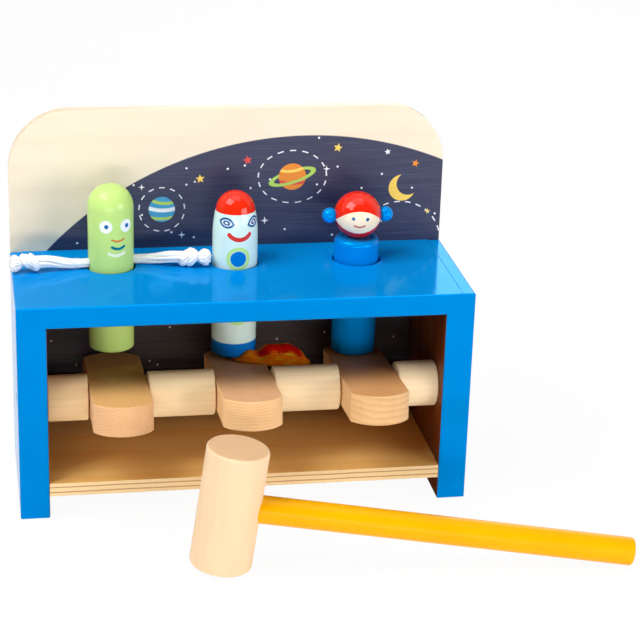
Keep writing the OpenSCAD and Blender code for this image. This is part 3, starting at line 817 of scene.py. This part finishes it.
portholeRings = ((6.7, screen(194, 237, 145)), (4.75, screen(206, 238, 210)), (4.35, screen(0, 122, 204)))
rocket = {
    "x": 0.0, "y": 0.014, "body": screen(221, 245, 237), "gloss": 0.11, "nose": screen(238, 40, 4),
    "noseFrom": 149.1, "base": screen(0, 114, 206), "baseTo": 75.6,
    "marks": [
        *almondEye(-6.8, 144.6, math.radians(-9)),
        *almondEye(10.4, 144.5, math.radians(14)),
        arc(0.95, 143.2, 7.6, 1.2, 0.86, screen(222, 46, 34)),
        *(dot(0.3, high, radius, color=color) for high in (124.7, 93.2) for radius, color in portholeRings),
    ],
}
astronaut = {
    "x": 0.067, "y": 0.014, "headHigh": 144.1, "turn": math.radians(-5), "blue": screen(0, 139, 224),
    "gloss": 0.1, "headGloss": 0.11, "tinted": 0.12,
    "helmet": screen(240, 36, 4), "helmetLow": screen(206, 22, 40), "chinRise": (-2.6, -1.2),
    "skin": screen(255, 234, 202), "face": dot(0.0, -9.0, 14.3, within=[dot(0.0, 9.4, 16.8)]),
    "marks": [
        dot(-3.4, 1.5, 1.0, color=screen(30, 96, 150)),
        dot(4.2, 1.1, 1.0, color=screen(30, 96, 150)),
        arc(0.0, 2.2, 5.4, 0.42, 0.55, screen(196, 70, 34)),
    ],
}


def alienInk(coords, spec=alien):
    peel = use(peelRound, {"Vector": coords["Object"], "X": spec["x"], "Y": spec["y"], "Turn": spec["turn"]})
    return inkAll(peel["U"], peel["V"], spec["lime"], spec["marks"])


def rocketInk(coords, spec=rocket):
    peel = use(peelRound, {"Vector": coords["Object"], "X": spec["x"], "Y": spec["y"]})
    color = mixColor(edgeMask(minus(peel["V"], spec["baseTo"])), spec["body"], spec["base"])
    color = inkAll(peel["U"], peel["V"], color, spec["marks"])
    return mixColor(edgeMask(minus(spec["noseFrom"], peel["V"])), color, spec["nose"])


def astronautInk(coords, spec=astronaut):
    # the face is drawn flat, as seen from the front
    x, y, z = split(coords["Object"])
    right = times(minus(x, spec["x"]), 1000.0)
    front = times(minus(spec["y"], y), 1000.0)
    u, ahead = turned(right, front, math.cos(spec["turn"]), -math.sin(spec["turn"]))
    v = timesPlus(z, 1000.0, -spec["headHigh"])
    helmet = mixColor(soften(v, *spec["chinRise"]), spec["helmetLow"], spec["helmet"])
    face = inkAll(u, v, spec["skin"], spec["marks"])
    return mixColor(times(inkMask(u, v, spec["face"]), calc("GREATER_THAN", ahead, 0.0)), helmet, face)


finishOn(paintFinish("alienLime", alienInk, alien["gloss"], "Z", (0.1, 0, 0)), "alien_peg")
finishOn(paintFinish("rocketPaints", rocketInk, rocket["gloss"], "Z", (0.2, 0, 0),
                     Specular_IOR_Level=0.32), "rocket_peg")
finishOn(paintFinish("astronautFace", astronautInk, astronaut["headGloss"], "Z", (0.3, 0, 0), fibre=0.1,
                     Specular_IOR_Level=0.35), "astronaut_head")
finishOn(paintFinish("astronautBlue", astronaut["blue"], astronaut["gloss"], "Z", Specular_IOR_Level=0.22,
                     Metallic=astronaut["tinted"], Specular_Tint=benchPaint["shine"]),
         "astronaut_body", "ear_left", "ear_right")

malletHandle = {"yellow": screen(252, 177, 0), "gloss": 0.28, "fibre": 0.12}
finishOn(paintFinish("handleYellow", malletHandle["yellow"], malletHandle["gloss"], "X", (0.7, 0, 0),
                     fibre=malletHandle["fibre"], Specular_IOR_Level=0.12), "hammer_handle")
print("paint finished")


# the cord arms, spun from loose cotton strands

cottonCord = {"white": screen(254, 253, 251), "shade": screen(240, 238, 236), "rough": 0.85,
              "relief": 0.00015}


def cottonFinish(spec):
    material, shader, coords = newMaterial("whiteCotton", Roughness=spec["rough"], Specular_IOR_Level=0.2,
                                           Sheen_Weight=0.3, Sheen_Roughness=0.5)
    grain = inMillimetres(coords["Object"])
    thread = streaks(grain, 0.5, 4.0, 3.0, 0.6)
    tone = times(soften(timesPlus(noise(grain, 0.5), 0.4, thread), 0.55, 0.95), 0.6)
    dress(shader, mixColor(tone, spec["white"], spec["shade"]), timesPlus(thread, 0.1, spec["rough"] - 0.05),
          thread, spec["relief"])
    return material


cotton = cottonFinish(cottonCord)

# routes in millimetres from the middle of the alien's bore
armRope = {
    "root": (-0.067, 0.014, 0.1218), "turn": math.radians(9), "diameter": 0.005, "leaves": 0.01225,
    "left": [(0, 0, 0), (-12, 0, 0), (-18, 0, 0), (-24, 0, 0.6), (-30, 0.4, 1.8), (-34, 0.7, 2.4),
             (-38, 1, 2.4)],
    "right": [(0, 0, 0), (12, 0, 0), (18, -1, 0), (23.5, -3.7, 0.6), (28.5, -6.7, 1.8), (32, -8.4, 2.4),
              (35.5, -9.5, 2.4)],
    "strands": 7, "strandRadius": 0.00098, "layRadius": 0.00148, "coreRadius": 0.0016, "twist": 1.1,
    "points": 36, "swellEnd": 0.75,
    "hairs": 16, "hairRadius": 0.00007, "hairPoints": 8, "hairFrom": 8, "hairStop": 12,
    "hairOut": 0.46, "hairArch": 0.09, "hairTurn": 0.06,
}
armKnot = {
    "past": 0.0052, "wrapRadius": 0.0026, "wraps": 1.85, "start": 0.9, "run": 0.0062, "lean": 0.0022,
    "strands": 8, "strandRadius": 0.00092, "layRadius": 0.0016, "coreRadius": 0.0016, "twist": 9.0,
    "points": 96, "into": 0.0035,
}
armTuft = {
    "past": 0.0094, "reach": 0.0074, "neck": 0.0015, "radius": 0.0044, "strands": 230,
    "strandRadius": 0.00050, "points": 7, "spread": 2.39996,        # turn from one cut end to the next
}


def smoothLine(points, count):
    # an even walk along a Catmull-Rom curve through the points
    points = [Vector(p) for p in points]
    padded = [points[0] * 2 - points[1]] + points + [points[-1] * 2 - points[-2]]
    steps = 12
    fine = []
    for index in range(1, len(padded) - 2):
        a, b, c, d = padded[index - 1:index + 3]
        for step in range(steps):
            t = step / steps
            fine.append(0.5 * ((2 * b) + (c - a) * t + (2 * a - 5 * b + 4 * c - d) * t * t
                               + (3 * b - a - 3 * c + d) * t ** 3))
    fine.append(points[-1])
    lengths = [0.0]
    for first, second in zip(fine, fine[1:]):
        lengths.append(lengths[-1] + (second - first).length)
    line, at = [], 0
    for step in range(count):
        want = lengths[-1] * step / (count - 1)
        while at < len(lengths) - 2 and lengths[at + 1] < want:
            at += 1
        span = max(lengths[at + 1] - lengths[at], 1e-9)
        line.append(fine[at].lerp(fine[at + 1], (want - lengths[at]) / span))
    return line, lengths[-1]


def frames(line):
    # two sideways directions at each point, carried along without twist
    sides = []
    side = None
    for index in range(len(line)):
        way = (line[min(index + 1, len(line) - 1)] - line[max(index - 1, 0)]).normalized()
        if side is None:
            side = way.cross(Vector((0, 0, 1)))
            if side.length < 0.1:
                side = way.cross(Vector((1, 0, 0)))
        side = (side - way * side.dot(way)).normalized()
        sides.append((side, way.cross(side)))
    return sides


def around(sides, angle):
    return sides[0] * math.cos(angle) + sides[1] * math.sin(angle)


def spun(line, spec, rng, loose=0.12):
    # strands that wind slowly round the line and a core, each a list of points and radii
    strands = []
    sides = frames(line)
    for number in range(spec["strands"]):
        phase = 2 * math.pi * number / spec["strands"] + rng.uniform(-0.2, 0.2)
        swell, sway = rng.uniform(0.9, 1.08), rng.uniform(0, 6.28)
        strand = []
        for index, point in enumerate(line):
            t = index / (len(line) - 1)
            angle = phase + spec["twist"] * t + loose * math.sin(sway + 9 * t)
            opened = spec.get("swellEnd", 0.0) * max(0.0, 1.4 * t - 0.4)
            out = spec["layRadius"] * (1 + 0.5 * loose * math.sin(2 * sway + 13 * t) + opened)
            strand.append((point + around(sides[index], angle) * out, spec["strandRadius"] * swell))
        strands.append(strand)
    strands.append([(point, spec["coreRadius"]) for point in line])
    return strands


def strandMesh(name, strands, sides=2):
    # strands as bevelled splines, made one mesh
    data = bpy.data.curves.new(name, "CURVE")
    data.dimensions = "3D"
    data.bevel_depth = 1.0
    data.bevel_resolution = sides
    data.use_fill_caps = True
    for strand in strands:
        spline = data.splines.new("POLY")
        spline.points.add(len(strand) - 1)
        for point, (place, radius) in zip(spline.points, strand):
            point.co = (*place, 1.0)
            point.radius = radius
    holder = addObject(name + ".draft", data)
    bpy.context.view_layer.update()
    mesh = bpy.data.meshes.new_from_object(holder.evaluated_get(bpy.context.evaluated_depsgraph_get()))
    bpy.data.objects.remove(holder)
    bpy.data.curves.remove(data)
    mesh.name = name
    mesh.materials.clear()
    mesh.shade_smooth()
    return addObject(name, mesh)


def looseHairs(line, rope, rng):
    # a few fibres that stand off the surface
    sides = frames(line)
    last = rope["hairPoints"] - 1
    hairs = []
    for _ in range(rope["hairs"]):
        start = rng.randrange(rope["hairFrom"], len(line) - rope["hairStop"])
        angle = rng.uniform(0, 6.28)
        hair = []
        for step in range(rope["hairPoints"]):
            out = rope["diameter"] * (rope["hairOut"] + rope["hairArch"] * math.sin(math.pi * step / last))
            way = around(sides[start + step], angle + rope["hairTurn"] * step)
            hair.append((line[start + step] + way * out, rope["hairRadius"]))
        hairs.append(hair)
    return hairs


def knotLine(middle, ahead, cross, knot, flip):
    wrap = []
    for step in range(knot["points"]):
        t = step / (knot["points"] - 1)
        angle = flip * (2 * math.pi * knot["wraps"] * t - knot["start"])
        slide = knot["run"] * (t - 0.5) + knot["lean"] * math.sin(angle + 0.5)
        out = knot["wrapRadius"] * min(1.0, 6 * t, 6 * (1 - t))
        wrap.append(middle + ahead * slide + around(cross, angle) * out)
    return wrap


def cutEnds(neck, ahead, cross, tuft, rng):
    # ends that fan out past the knot
    brush = []
    for number in range(tuft["strands"]):
        share = math.sqrt((number + 0.5) / tuft["strands"])
        out = around(cross, number * tuft["spread"] + rng.uniform(-0.3, 0.3))
        far = tuft["reach"] * (0.62 + 0.38 * math.sqrt(1 - share * share)) * rng.uniform(0.84, 1.06)
        hair = []
        for step in range(tuft["points"]):
            t = step / (tuft["points"] - 1)
            fan = math.sin(0.5 * math.pi * t) ** 1.2
            wide = share * (tuft["neck"] + (tuft["radius"] - tuft["neck"]) * fan)
            hair.append((neck + ahead * far * t + out * wide, tuft["strandRadius"] * (1.0 - 0.2 * t)))
        brush.append(hair)
    return brush


def makeArm(side, rope, knot, tuft):
    rng = random.Random("arm " + side)
    flip = 1 if side == "left" else -1
    bore = Matrix.Translation(rope["root"]) @ Matrix.Rotation(rope["turn"], 4, "Z")
    route = [bore @ (Vector(p) * 0.001) for p in rope[side]]
    ahead = (route[-1] - route[-2]).normalized()
    cross = (ahead.cross(Vector((0, 0, 1))), Vector((0, 0, 1)))
    finish = route[-1].copy()
    route.append(finish + ahead * knot["into"])
    line, length = smoothLine(route, rope["points"])
    arm = strandMesh(side + "ArmRope", spun(line, rope, rng) + looseHairs(line, rope, rng))
    wrap = knotLine(finish + ahead * knot["past"], ahead, cross, knot, flip)
    tied = strandMesh(side + "ArmKnot", spun(wrap, knot, rng))
    brush = cutEnds(finish + ahead * tuft["past"], ahead, cross, tuft, rng)
    frayed = strandMesh(side + "ArmTuft", brush, 1)

    for piece in (arm, tied, frayed):
        piece.data.materials.append(cotton)
        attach(piece, "alien")
    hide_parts("arm_cord_" + side)
    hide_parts("arm_knot_" + side)
    print("arm", side, "length", round(length * 1000, 1), "mm")


for armSide in ("left", "right"):
    makeArm(armSide, armRope, armKnot, armTuft)


# the rocket's flame, a scrap of cloth that lies over the lever and the spacer

flameCloth = {
    "root": (0.0, 0.014, 0.067475), "columns": 96, "rows": 26, "flat": (0.0135, 0.052), "thick": 0.0006,
    "line": [(-2, -7), (1, -18), (20, -14), (41, -7)],      # its middle from above, in millimetres
    "halfWidth": 6.5, "rootShare": 0.12, "fullAt": 0.55, "tipFrom": 0.6,
    "rise": 5.2, "arch": math.radians(115), "fold": 0.7, "waves": 3, "bed": 0.7, "droop": 3.4, "forward": 3.0,
    "swell": [(0.0, 0.0), (0.1, 0.0), (0.36, 0.74), (0.5, 0.5), (0.64, 1.08), (0.8, 1.12), (0.92, 0.9),
              (1.0, 0.0)],
    "red": screen(230, 13, 2), "deep": screen(172, 6, 2), "orange": screen(255, 122, 4),
    "gold": screen(255, 212, 34), "yarn": (7.0, 16.0), "weave": (640.0, 190.0), "relief": 0.00012,
    "fringe": 420, "fringeRadius": 0.00009, "fringeLong": (0.0006, 0.0016), "fringeDrift": 0.0005,
    "fringeRear": 0.75,         # share of the threads on the rear edge
}


def ease(value):
    value = min(1.0, max(0.0, value))
    return value * value * (3 - 2 * value)


def heightAt(table, t):
    for (start, low), (stop, high) in zip(table, table[1:]):
        if t <= stop:
            return low + (high - low) * ease((t - start) / (stop - start))
    return table[-1][1]


def flamePoint(spec, t, across):
    a, b, c, d = [Vector(p) for p in spec["line"]]
    middle = a * (1 - t) ** 3 + b * 3 * t * (1 - t) ** 2 + c * 3 * t * t * (1 - t) + d * t ** 3
    way = ((b - a) * 3 * (1 - t) ** 2 + (c - b) * 6 * t * (1 - t) + (d - c) * 3 * t * t).normalized()
    past = max(0.0, t - spec["tipFrom"]) / (1 - spec["tipFrom"])
    closing = math.sqrt(max(0.002, 1 - past ** 2))          # round tip
    opened = spec["rootShare"] + (1 - spec["rootShare"]) * ease(t / spec["fullAt"])
    place = middle + Vector((-way.y, way.x)) * spec["halfWidth"] * opened * closing * (2 * across - 1)
    folds = 0.5 * spec["fold"] * (1 + math.sin(2 * math.pi * (spec["waves"] * t + across / 2)))
    lift = heightAt(spec["swell"], t) * (spec["rise"] * math.sin(spec["arch"] * across) + folds)
    # the front edge and the tip bend forward and hang down, at the rear of the spacer
    front = ((1 - across) ** 1.5 * closing + ease((t - 0.8) / 0.2)) * ease((t - 0.45) / 0.4)
    point = Vector((place.x, place.y - spec["forward"] * front, lift - spec["bed"] - spec["droop"] * front))
    return point * 0.001 + Vector(spec["root"])


def flameFinish(spec):
    material, shader, coords = newMaterial("flameCloth", Roughness=0.8, Specular_IOR_Level=0.08)
    along, across = split(put(shader.id_data, "ShaderNodeUVMap", uv_map="flameFlat").outputs[0])[0:2]
    blotch = noise(inMillimetres(coords["Object"]), 0.22, 3.0, 0.6)
    flat = put(shader.id_data, "ShaderNodeCombineXYZ", {
        0: times(along, spec["yarn"][0]), 1: times(across, spec["yarn"][1])})
    yarn = noise(flat.outputs[0], 1.0, 3.0, 0.6)
    warm = mixColor(soften(yarn, 0.48, 0.72), spec["orange"], spec["gold"])
    hot = mixColor(soften(blotch, 0.5, 0.72), spec["red"], spec["deep"])
    line = timesPlus(minus(blotch, 0.5), 0.5, across)
    color = mixColor(times(soften(line, 0.30, 0.46), soften(along, 0.38, 0.52)), warm, hot)
    edge = calc("MINIMUM", opposite(across), times(opposite(along), 2.2))
    rim = opposite(soften(timesPlus(yarn, -0.12, edge), 0.0, 0.16))
    weave = times(calc("SINE", times(along, spec["weave"][0])), calc("SINE", times(across, spec["weave"][1])))
    dress(shader, mixColor(times(rim, 0.95), color, warm), timesPlus(blotch, 0.2, 0.7),
          timesPlus(weave, 0.5, blotch), spec["relief"])
    return material


def fringeFinish(spec):
    material, shader, coords = newMaterial("flameThreads", Roughness=0.85, Specular_IOR_Level=0.08)
    tone = noise(coords["Object"], 600.0)
    feed(shader.inputs["Base Color"], mixColor(soften(tone, 0.4, 0.6), spec["orange"], spec["gold"]))
    return material


def frayedThreads(spec):
    # short threads along both long edges and the tip
    rng = random.Random("flame")
    radius = spec["fringeRadius"]
    threads = []
    for _ in range(spec["fringe"]):
        t = rng.uniform(0.12, 1.0)
        edge = 1.0 if rng.random() < spec["fringeRear"] else 0.0
        root = flamePoint(spec, t, edge)
        inner = flamePoint(spec, t, 0.9 if edge else 0.1)
        out = (root - inner).normalized() * rng.uniform(*spec["fringeLong"])
        drift = Vector((rng.uniform(-1, 1), rng.uniform(-1, 1), rng.uniform(-0.2, 0.6))) * spec["fringeDrift"]
        threads.append([(root - out * 0.4, radius), (root + out * 0.5 + drift * 0.3, radius),
                        (root + out + drift, radius * 0.6)])
    return threads


def makeFlame(spec):
    bm = bmesh.new()
    flatLayer = bm.loops.layers.uv.new("flameFlat")
    bmesh.ops.create_grid(bm, x_segments=spec["columns"], y_segments=spec["rows"], size=0.5)
    for face in bm.faces:
        for loop in face.loops:
            loop[flatLayer].uv = (loop.vert.co.x + 0.5, loop.vert.co.y + 0.5)
    for vert in bm.verts:
        vert.co = flamePoint(spec, vert.co.x + 0.5, vert.co.y + 0.5)
    area = sum(face.calc_area() for face in bm.faces)
    cloth = meshObject("flameCloth", bm, smooth=True)
    wall = cloth.modifiers.new("thickness", "SOLIDIFY")
    wall.thickness = spec["thick"]
    wall.offset = 0.0
    cloth.data.materials.append(flameFinish(spec))
    fringe = strandMesh("flameFringe", frayedThreads(spec), 1)
    fringe.data.materials.append(fringeFinish(spec))
    for piece in (cloth, fringe):
        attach(piece, "rocket")
    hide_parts("rocket_flame")


makeFlame(flameCloth)


# six countersunk screws that hold the back panel

backScrews = {
    "x": 0.11225, "heights": (0.030, 0.063, 0.096), "face": 0.0465, "radius": 0.0035, "deep": 0.0021,
    "neck": 0.0020, "slotLong": 0.0019, "slotHalf": 0.00042, "slotDeep": 0.0013, "slotTaper": 0.7,
    "segments": 32, "dark": screen(176, 178, 180), "light": screen(214, 214, 210),
    "streaks": (900, 900, 9000), "relief": 0.00003,
}


def screwFinish(spec):
    material, shader, coords = newMaterial("zincSteel", Metallic=1.0)
    drawn = put(shader.id_data, "ShaderNodeMapping", {"Vector": coords["Object"], "Scale": spec["streaks"]})
    streak = noise(drawn.outputs[0], 1.0)
    dress(shader, mixColor(streak, spec["dark"], spec["light"]), timesPlus(streak, 0.25, 0.2), streak,
          spec["relief"])
    return material


def newVerts(made):
    return [v for v in made["geom"] if isinstance(v, bmesh.types.BMVert)]


def openEdges(bm):
    return [e for e in bm.edges if e.is_boundary]


def screwHead(spec):
    # a disc with a cross cut and sunk into it, and a cone below its rim
    bm = bmesh.new()
    bmesh.ops.create_circle(bm, cap_ends=True, segments=spec["segments"], radius=spec["radius"])
    long, half = spec["slotLong"], spec["slotHalf"]
    for axis in ((1, 0, 0), (0, 1, 0)):
        for step in (-long, -half, half, long):
            bmesh.ops.bisect_plane(bm, geom=bm.verts[:] + bm.edges[:] + bm.faces[:],
                                   plane_co=Vector(axis) * step, plane_no=axis)
    slotFaces = []
    for face in bm.faces:
        near, far = sorted(abs(v) for v in face.calc_center_median()[0:2])
        if near < half and far < long:
            slotFaces.append(face)
    sunk = newVerts(bmesh.ops.extrude_face_region(bm, geom=slotFaces))
    bmesh.ops.delete(bm, geom=slotFaces, context="FACES")
    bmesh.ops.translate(bm, verts=sunk, vec=(0, 0, -spec["slotDeep"]))
    bmesh.ops.scale(bm, verts=sunk, vec=(spec["slotTaper"], spec["slotTaper"], 1))
    low = newVerts(bmesh.ops.extrude_edge_only(bm, edges=openEdges(bm)))
    bmesh.ops.translate(bm, verts=low, vec=(0, 0, -spec["deep"]))
    shrink = spec["neck"] / spec["radius"]
    bmesh.ops.scale(bm, verts=low, vec=(shrink, shrink, 1))
    bmesh.ops.contextual_create(bm, geom=openEdges(bm))
    bmesh.ops.recalc_face_normals(bm, faces=bm.faces)
    return bm


def makeScrews(spec):
    bm = bmesh.new()
    for x in (-spec["x"], spec["x"]):
        for high in spec["heights"]:
            head = screwHead(spec)
            driven = Matrix.Rotation(0.35 + 51 * high + x, 4, "Z")      # each stopped at another turn
            place = Matrix.Translation((x, spec["face"], high)) @ Matrix.Rotation(-math.pi / 2, 4, "X")
            bmesh.ops.transform(head, matrix=place @ driven, verts=head.verts)
            draft = bpy.data.meshes.new("screwDraft")
            head.to_mesh(draft)
            head.free()
            bm.from_mesh(draft)
            bpy.data.meshes.remove(draft)
    heads = meshObject("backScrewHeads", bm)
    heads.data.materials.append(screwFinish(spec))
    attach(heads, "bench")
    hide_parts("back_screws")


makeScrews(backScrews)
print("soft pieces and screws made")

bpy.context.view_layer.update()
